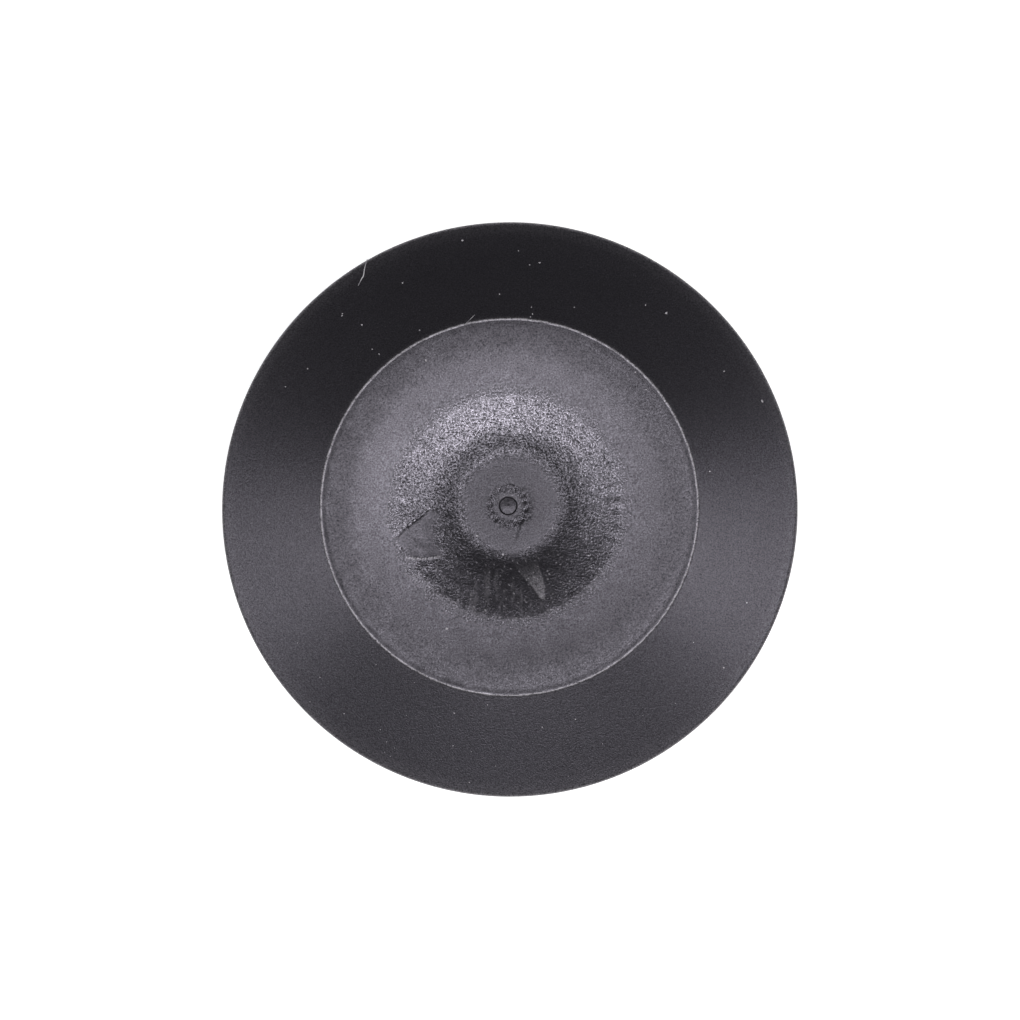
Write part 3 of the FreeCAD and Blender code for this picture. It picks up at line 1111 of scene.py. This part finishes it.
    def torn_pits(self, x: np.ndarray, y: np.ndarray, r: np.ndarray) -> np.ndarray:
        """Gives how deep the torn skin round the gate is pitted.

        Args:
            x: distances along X, mm.
            y: distances along Y, mm.
            r: distances from the ring's centre, mm.

        Returns:
            The share of the full depth for each place.
        """
        outer = self.torn_outer + self.torn_lean * np.clip(x, *self.torn_lean_span)
        torn = 1.0 - smooth_step(r, outer + self.torn_ends[0], outer + self.torn_ends[1])
        torn *= smooth_step(r, *self.torn_starts) * (1.0 - self.torn_loss.at(x, y, r))
        return torn * self.torn_pattern.at(x, y)

    def painted_light_and_mottle_share(self, x: np.ndarray, y: np.ndarray, r: np.ndarray) -> np.ndarray:
        """Gives the painted shade of the deep grain, the gate's crater, the torn skin's pits and the crack,
        the painted sheen, and the crown's mottle.

        Args:
            x: distances along X, mm.
            y: distances along Y, mm.
            r: distances from the ring's centre, mm.

        Returns:
            The share for each place: 1 in the deepest painted shade, and below 0 where a painted sheen raises
                the reflection above plain.
        """
        share = read_off(self.wander(self.painted_light_wander, x, y, r), self.painted_light_by_radius)
        # painted shade in the torn skin's pits and along the crack
        share += self.torn_pits(x, y, r) + self.crack.tone_share(x, y)
        return share + add_up(self.painted_light_and_mottle_zones(), x, y, r)

    def grain_share(self, x: np.ndarray, y: np.ndarray, r: np.ndarray) -> np.ndarray:
        """Gives how strong the spark-eroded grain is.

        Args:
            x: distances along X, mm.
            y: distances along Y, mm.
            r: distances from the ring's centre, mm.

        Returns:
            The share of the full grain for each place.
        """
        stops = tuple((at, texture.value) for at, texture in self.textures)
        share = read_off(self.wander(self.grain_wander, x, y, r), stops)
        torn = Zone(Texture.TORN.value - Texture.DISC.value, starts=(0.6, 0.8), ends=(1.0, 1.2))
        share += torn.at(x, y, r)
        # worn smoother over the lower part of the dish
        worn = Zone(0.25, ends=self.inside_break(), along=(2.2, 3.4), across=(2.5, 4.0))
        share *= 1.0 - worn.at(x, y, r)
        for scuff in (self.wedge, self.spike):
            share += scuff.share(x, y) * (Texture.SCUFF.value - share)
        return share

    def blanch_and_highlight_share(self, x: np.ndarray, y: np.ndarray, r: np.ndarray) -> np.ndarray:
        """Gives how blanched the skin is, with the painted highlights and glints that its pale colour also
        stands for.

        Args:
            x: distances along X, mm.
            y: distances along Y, mm.
            r: distances from the ring's centre, mm.

        Returns:
            The share for each place, from 0 to 1.
        """
        # the flash line: blanch with a painted highlight along it
        gap = r - self.rim_r - self.flash_blanch_and_highlight_offset - self.flash_waver.at(x, y)
        share = bell(gap, self.flash_width * self.flash_blanch_and_highlight_core) * self.flash_blanch_and_highlight.at(x, y)
        share += add_up(self.blanch_and_highlight_zones(), x, y, r)
        # painted glints over the lower part of the dish
        lower = Zone(0.6, starts=(self.disc_r, self.disc_r + SHARP),
                     ends=(self.break_r + 0.1, self.break_r + 0.4), along=(1.8, 2.8))
        share += lower.at(x, y, r) * smooth_step(self.glint_pattern.at(x, y), *self.glint_tops)
        # a painted highlight on the rim of the gate's crater, stronger above it, and paler skin towards the
        # head's edge
        share += read_off(r, self.gate_rim_highlight) * (self.gate_rim_highlight_least + self.gate_rim_highlight_above.at(x, y, r))
        share += read_off(r, self.edge_haze)
        # painted highlights along the wedge's lip and on the spike, which is also blanched
        return share + self.wedge_lip.tone_share(x, y) + self.spike.blanch_and_highlight * self.spike.share(x, y)

    def lip_highlight(self, r: float, height: float) -> float:
        """Gives the painted highlight on the lip's rounded top edge.

        Args:
            r: a place's distance from the axis, mm.
            height: its height, mm.

        Returns:
            The share, from 0 to 1, which is 0 on the lip's underside.
        """
        if height <= self.seat_z + self.lip_highlight_height:
            return 0.0
        starts = self.edge_r - self.lip_highlight_starts
        full = self.edge_r - self.lip_highlight_full
        return self.lip_highlight_strength * float(smooth_step(r, starts, full))

    def build(self) -> bpy.types.Object:
        """Builds the moulding's mesh and dresses it.

        Returns:
            The object, riding on the plug's body in place of its solid.
        """
        sides = self.segments
        angles = np.arange(sides) * 2.0 * math.pi / sides
        radii = np.array(self.ring_radii())
        r = np.repeat(radii, sides)
        around_x = np.tile(np.cos(angles), len(radii))
        around_y = np.tile(np.sin(angles), len(radii))
        x, y = self.shifted(r * around_x, r * around_y)
        uneven = self.unevenness(around_x, around_y, r) * (1.0 - self.wedge.share(x, y))
        z = self.top_height(r + uneven) + self.marks(x, y, r)
        lower = self.lower_outline()[1:]
        rings = [np.column_stack([at * np.cos(angles), at * np.sin(angles), np.full(sides, height)])
                 for at, height in lower]
        middle = (*self.gate_shift, float(self.top_height(np.array([0.0]))[0]))
        floor_z = self.crest_z - self.centre_wall - self.disc_depth
        points = np.vstack([[middle], np.column_stack([x, y, z]), *rings, [[0.0, 0.0, floor_z]]])
        ring_count = len(radii) + len(rings)
        last_ring = 1 + (ring_count - 1) * sides
        faces = [(0, 1 + i, 1 + (i + 1) % sides) for i in range(sides)]
        faces += strip_faces(1, sides, ring_count)
        faces += [(last_ring + i, len(points) - 1, last_ring + (i + 1) % sides) for i in range(sides)]
        plug = new_piece("hole_plug_moulding", (points * MM).tolist(), faces, Polyethylene().material())
        below = len(rings) * sides + 1
        lip_highlight_shares = np.repeat([self.lip_highlight(at, height) for at, height in lower], sides)
        stored = {
            "grain": ([Texture.DISC.value], self.grain_share(x, y, r), np.full(below, Texture.CORE.value)),
            "blanch_and_highlight": ([0.0], self.blanch_and_highlight_share(x, y, r), lip_highlight_shares, [0.0]),
            "painted_light_and_mottle": ([self.painted_light_by_radius[0][1]], self.painted_light_and_mottle_share(x, y, r), np.zeros(below)),
        }
        for name, parts in stored.items():
            values = np.concatenate(parts).astype(np.float32)
            plug.data.attributes.new(name, "FLOAT", "POINT").data.foreach_set("value", values)
        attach(plug, BODY)
        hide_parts(NODE)
        return plug

    def surface(self, x: float, y: float) -> Vector:
        """Gives a place on the head's top.

        Args:
            x: distance along X, mm.
            y: distance along Y, mm.

        Returns:
            The place, mm.
        """
        r = np.array([math.hypot(x, y)])
        return Vector((x, y, float(self.top_height(r)[0])))

    def normal(self, x: float, y: float) -> Vector:
        """Gives which way the head's top faces.

        Args:
            x: distance along X, mm.
            y: distance along Y, mm.

        Returns:
            The direction, with a length of 1.
        """
        step = 0.05
        along_x = self.surface(x + step, y) - self.surface(x - step, y)
        along_y = self.surface(x, y + step) - self.surface(x, y - step)
        return along_x.cross(along_y).normalized()


@dataclass
class Dust:
    """The specks that lie on the plug, each a crumb sunk a little into the skin under it.

    Attributes:
        moulding: the plug.
        crumbs: place along X and Y and width of each crumb, mm.
        sides: how many sides a crumb has.
        levels: how many levels of faces a crumb has.
        stretch: how much longer a crumb is one way than the other, from the least to the most.
        unevenness: how far its corners lie from its middle, as a share, from the least to the most.
        flatness: how high it is, as a share of its width.
        rise: how far its middle stands above the skin, as a share of half its width.
    """

    moulding: Moulding
    crumbs: tuple[tuple[float, float, float], ...] = (
        (-2.35, 13.35, 0.11), (1.49, 12.2, 0.09), (7.79, 9.69, 0.13), (12.54, 5.32, 0.13),
        (-4.14, 7.27, 0.1), (6.77, 5.81, 0.07), (10.65, 6.79, 0.08), (-10.03, 6.92, 0.08),
        (-7.35, 9.1, 0.07), (-11.13, 6.04, 0.07), (9.92, 1.76, 0.08), (10.6, -7.93, 0.08),
        (-3.09, -6.04, 0.13), (6.23, 6.66, 0.07), (6.75, 10.08, 0.07), (-0.49, 10.59, 0.07),
        (0.44, 12.82, 0.06), (0.99, 12.09, 0.06), (3.22, 9.93, 0.06), (-8.31, 9.68, 0.07),
        (11.75, -4.72, 0.07), (-1.62, -1.4, 0.1), (-0.32, -2.33, 0.12), (2.13, -1.04, 0.09),
        (3.9, -2.4, 0.06), (1.09, 9.93, 0.07), (1.14, 9.58, 0.07), (1.04, 9.43, 0.06),
        (-1.09, -9.8, 0.06), (-2.73, -10.2, 0.07), (1.62, -10.9, 0.06), (3.26, -10.5, 0.06),
        (-8.33, 9.58, 0.08), (-7.31, 9.1, 0.07), (-6.81, 7.85, 0.07), (-6.46, 7.6, 0.08),
        (-4.45, 8.79, 0.07), (-5.32, 11.2, 0.08), (-9.4, -8.4, 0.035), (-9.9, -9.6, 0.035),
        (-8.2, -10.2, 0.045), (-5.1, -10.3, 0.035), (-6.4, -11.0, 0.035), (-2.8, -11.8, 0.045),
        (-2.8, -12.4, 0.035), (-5.7, -11.9, 0.035), (-6.1, -11.6, 0.045), (-6.2, -12.1, 0.035),
        (-5.9, -12.3, 0.035), (-7.9, -11.9, 0.045), (-1.9, -12.1, 0.035), (-0.7, -12.8, 0.035),
        (-2.0, -13.6, 0.05), (-4.7, -8.7, 0.035), (-6.6, -7.8, 0.035), (4.6, -11.7, 0.045),
        (6.6, -10.3, 0.035), (2.9, -13.3, 0.035), (9.1, -6.7, 0.045), (8.2, -9.7, 0.035),
        (-10.5, -6.7, 0.035))
    sides: int = 8
    levels: int = 5
    stretch: Point = (0.7, 1.3)
    unevenness: Point = (0.8, 1.15)
    flatness: float = 0.4
    rise: float = 0.05

    def build(self) -> bpy.types.Object:
        """Builds all crumbs as one piece.

        Returns:
            The object, riding on the plug's body.
        """
        draw = np.random.default_rng(SEED + 11)
        points: list[Vector] = []
        faces: list[tuple[int, ...]] = []
        for x, y, width in self.crumbs:
            faces += strip_faces(len(points), self.sides, self.levels + 1)
            points += self.crumb_points(x, y, width, draw)
        dust = new_piece("dust_specks", [p * MM for p in points], faces, HouseDust().material())
        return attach(dust, BODY)

    def crumb_points(self, x: float, y: float, width: float, draw: np.random.Generator) -> list[Vector]:
        """Gives the corners of one crumb: an uneven flattened ball.

        Args:
            x: place along X, mm.
            y: place along Y, mm.
            width: the crumb's width, mm.
            draw: where its unevenness comes from.

        Returns:
            The corners, ring by ring from the crumb's top, mm.
        """
        turn = self.moulding.normal(x, y).to_track_quat("Z", "X").to_matrix()
        stretch = draw.uniform(*self.stretch)
        points: list[Vector] = []
        for level in range(self.levels + 1):
            polar = math.pi * level / self.levels
            for side in range(self.sides):
                around = 2.0 * math.pi * side / self.sides
                reach = width / 2.0 * draw.uniform(*self.unevenness)
                local = Vector((math.sin(polar) * math.cos(around) * stretch,
                                math.sin(polar) * math.sin(around) / stretch,
                                math.cos(polar) * self.flatness + self.rise)) * reach
                points.append(self.moulding.surface(x, y) + turn @ local)
        return points


@dataclass
class Lint:
    """A fibre that clings to the plug.

    Attributes:
        moulding: the plug.
        name: the piece's name.
        path: the fibre's points as X, Y and how high it stands off the skin, mm.
        width: the fibre's width, mm.
        end_width: how wide its ends are, as a share.
        end_phase: how far along the swelling the ends lie, as a share of half a turn.
        sides: how many sides the tube has.
        steps: how many rings the tube has.
    """

    moulding: Moulding
    name: str
    path: tuple[tuple[float, float, float], ...]
    width: float
    end_width: float = 0.45
    end_phase: float = 0.15
    sides: int = 8
    steps: int = 40

    def build(self) -> bpy.types.Object:
        """Builds the fibre as a thin tapered tube.

        Returns:
            The object, riding on the plug's body.
        """
        knots = np.array([[*self.moulding.surface(x, y)] for x, y, _ in self.path])
        knots[:, 2] += [stand + self.width / 2.0 for _, _, stand in self.path]
        line = [self.spline(knots, t) for t in np.linspace(0.0, len(knots) - 1.0, self.steps)]
        points: list[Vector] = []
        for i, here in enumerate(line):
            ahead = line[min(i + 1, self.steps - 1)] - line[max(i - 1, 0)]
            turn = ahead.to_track_quat("Z", "X").to_matrix()
            phase = self.end_phase + (1.0 - 2.0 * self.end_phase) * i / (self.steps - 1)
            taper = self.end_width + (1.0 - self.end_width) * math.sin(math.pi * phase)
            for side in range(self.sides):
                around = 2.0 * math.pi * side / self.sides
                out = Vector((math.cos(around), math.sin(around), 0.0))
                points.append(here + turn @ out * self.width / 2.0 * taper)
        faces = strip_faces(0, self.sides, self.steps, flipped=True)
        faces.append(tuple(reversed(range(self.sides))))
        faces.append(tuple(range(len(points) - self.sides, len(points))))
        fibre = new_piece(self.name, [p * MM for p in points], faces, CottonLint().material())
        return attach(fibre, BODY)

    @staticmethod
    def spline(knots: np.ndarray, t: float) -> Vector:
        """Gives a point of the smooth curve through the knots.

        Args:
            knots: the curve's points.
            t: which knot, with a fraction for places between two.

        Returns:
            The place, in the knots' unit.
        """
        i = min(int(t), len(knots) - 2)
        f = t - i
        p = [knots[max(0, min(len(knots) - 1, k))] for k in range(i - 1, i + 3)]
        bend = 2 * p[0] - 5 * p[1] + 4 * p[2] - p[3]
        twist = 3 * (p[1] - p[2]) + p[3] - p[0]
        return Vector(p[1] + 0.5 * f * (p[2] - p[0] + f * (bend + f * twist)))


@dataclass(frozen=True)
class Softbox:
    """A lamp with an even rectangular face, placed by where it is seen from the plug.

    Attributes:
        name: the lamp's name.
        zenith: how far it stands from straight up, degrees.
        azimuth: which way it stands, degrees from X towards Y.
        across: how wide it is seen round the plug, degrees.
        tall: how high it is seen from the plug, degrees.
        radiance: how bright its face is, where white paper in plain light is 1.
        distance: how far it stands from the plug, m.
    """

    name: str
    zenith: float
    azimuth: float
    across: float
    tall: float
    radiance: float
    distance: float = 0.9

    def build(self) -> bpy.types.Object:
        """Sets up the lamp, facing the plug.

        Returns:
            The lamp.
        """
        lamp = bpy.data.lights.new(self.name, "AREA")
        lamp.shape = "RECTANGLE"
        lamp.size = 2.0 * self.distance * math.tan(math.radians(self.across / 2.0))
        lamp.size_y = 2.0 * self.distance * math.tan(math.radians(self.tall / 2.0))
        lamp.energy = self.radiance * math.pi * lamp.size * lamp.size_y
        obj = bpy.data.objects.new(self.name, lamp)
        zenith, azimuth = math.radians(self.zenith), math.radians(self.azimuth)
        outwards = Vector((math.sin(zenith) * math.cos(azimuth), math.sin(zenith) * math.sin(azimuth),
                           math.cos(zenith)))
        around = Vector((-math.sin(azimuth), math.cos(azimuth), 0.0))
        turn = Matrix((around, outwards.cross(around), outwards)).transposed().to_4x4()
        obj.matrix_world = Matrix.Translation(outwards * self.distance) @ turn
        bpy.context.scene.collection.objects.link(obj)
        return obj


@dataclass
class Studio:
    """The sweep under the plug, the lamps over it and the camera that looks down on it.

    The sweep's sizes are in metres, the camera's distance, aim, lens and sensor in mm and its tilt in
    degrees.
    """

    sweep_radius: float = 0.55
    sweep_bend: float = 0.12
    sweep_height: float = 0.16
    floor_rings: tuple[float, ...] = (0.05, 0.2)
    sweep_sides: int = 96
    bend_steps: int = 12
    camera_tilt: float = 3.79
    camera_lean: Point = (0.165, -0.973)
    camera_distance: float = 352.1
    aim: tuple[float, float, float] = (0.0106, -0.051, 8.06)
    lens: float = 250.0
    sensor: float = 36.0
    sky: float = 0.02
    softboxes: tuple[Softbox, ...] = (
        Softbox("main_east", 12.5, 0.0, 9.5, 5.0, 19.0),
        Softbox("main_north_east", 12.5, 45.0, 9.5, 5.0, 12.5),
        Softbox("main_north_west", 12.5, 135.0, 9.5, 5.0, 8.5),
        Softbox("main_west", 12.5, 202.0, 19.0, 5.0, 21.0),
        Softbox("main_south", 12.5, 292.0, 19.0, 5.0, 29.5),
        Softbox("inner_east", 7.5, 0.0, 5.8, 5.0, 12.5),
        Softbox("inner_west", 7.5, 202.0, 11.6, 5.0, 3.4),
        Softbox("outer_south", 15.5, 266.0, 16.0, 5.0, 6.4),
        Softbox("east_box", 27.5, 352.5, 20.5, 5.0, 14.3),
        Softbox("west_box", 30.0, 187.0, 20.0, 10.0, 5.9),
    )

    def build_sweep(self) -> bpy.types.Object:
        """Builds the floor with its edge curved up into a wall all round.

        Returns:
            The sweep.
        """
        outline = [(r, 0.0) for r in (*self.floor_rings, self.sweep_radius - self.sweep_bend)]
        for i in range(1, self.bend_steps + 1):
            angle = math.pi / 2.0 * i / self.bend_steps
            outline.append((self.sweep_radius - self.sweep_bend * (1.0 - math.sin(angle)),
                            self.sweep_bend * (1.0 - math.cos(angle))))
        outline.append((self.sweep_radius, self.sweep_height))
        turns = [2.0 * math.pi * k / self.sweep_sides for k in range(self.sweep_sides)]
        points = [(0.0, 0.0, 0.0)]
        points += [(r * math.cos(turn), r * math.sin(turn), z) for r, z in outline for turn in turns]
        faces = [(0, 1 + k, 1 + (k + 1) % self.sweep_sides) for k in range(self.sweep_sides)]
        faces += strip_faces(1, self.sweep_sides, len(outline))
        sweep = new_piece("sweep", points, faces, WhiteSweep().material())
        return sweep

    def build_sky(self) -> None:
        """Gives the room round the lamps a dim even grey."""
        world = bpy.data.worlds.new("dim_room")
        world.use_nodes = True
        background = world.node_tree.nodes["Background"]
        background.inputs["Color"].default_value = linear_colour("#FFFFFF")
        background.inputs["Strength"].default_value = self.sky
        bpy.context.scene.world = world

    def build_camera(self) -> bpy.types.Object:
        """Sets up the camera over the plug, leaning a little towards the photograph's lower edge.

        Returns:
            The camera.
        """
        tilt = math.radians(self.camera_tilt)
        lean = Vector(self.camera_lean).normalized()
        back = Vector((lean.x * math.sin(tilt), lean.y * math.sin(tilt), math.cos(tilt)))
        right = Vector((0.0, 1.0, 0.0)).cross(back).normalized()
        up = back.cross(right)
        data = bpy.data.cameras.new("photo_camera")
        data.lens = self.lens
        data.sensor_width = self.sensor
        data.clip_start = 0.01
        camera = bpy.data.objects.new("photo_camera", data)
        turn = Matrix((right, up, back)).transposed().to_4x4()
        place = (Vector(self.aim) + back * self.camera_distance) * MM
        camera.matrix_world = Matrix.Translation(place) @ turn
        bpy.context.scene.collection.objects.link(camera)
        bpy.context.scene.camera = camera
        return camera

    def build(self) -> None:
        """Builds the sweep, the lamps, the dim room and the camera."""
        self.build_sweep()
        for softbox in self.softboxes:
            softbox.build()
        self.build_sky()
        self.build_camera()
        bpy.context.scene.view_settings.view_transform = "Standard"


def main() -> None:
    """Builds the studio, the moulding and what lies on it, in that order."""
    logging.basicConfig(level=logging.INFO, format="%(message)s")
    Studio().build()
    moulding = Moulding()
    long_fibre = Lint(moulding, "long_lint_fibre", width=0.055,
                      path=((-7.09, 12.42, 0.25), (-7.21, 11.97, 0.12), (-7.27, 11.61, 0.04),
                            (-7.38, 11.41, 0.0), (-7.53, 11.1, 0.0)))
    short_fibre = Lint(moulding, "short_lint_fibre", width=0.024,
                       path=((-2.19, 9.06, 0.0), (-1.95, 9.31, 0.0), (-1.72, 9.54, 0.03)))
    for part in (moulding, Dust(moulding), long_fibre, short_fibre):
        piece = part.build()
        LOG.info("%s: %d faces", piece.name, len(piece.data.polygons))


if __name__ == "__main__":
    main()
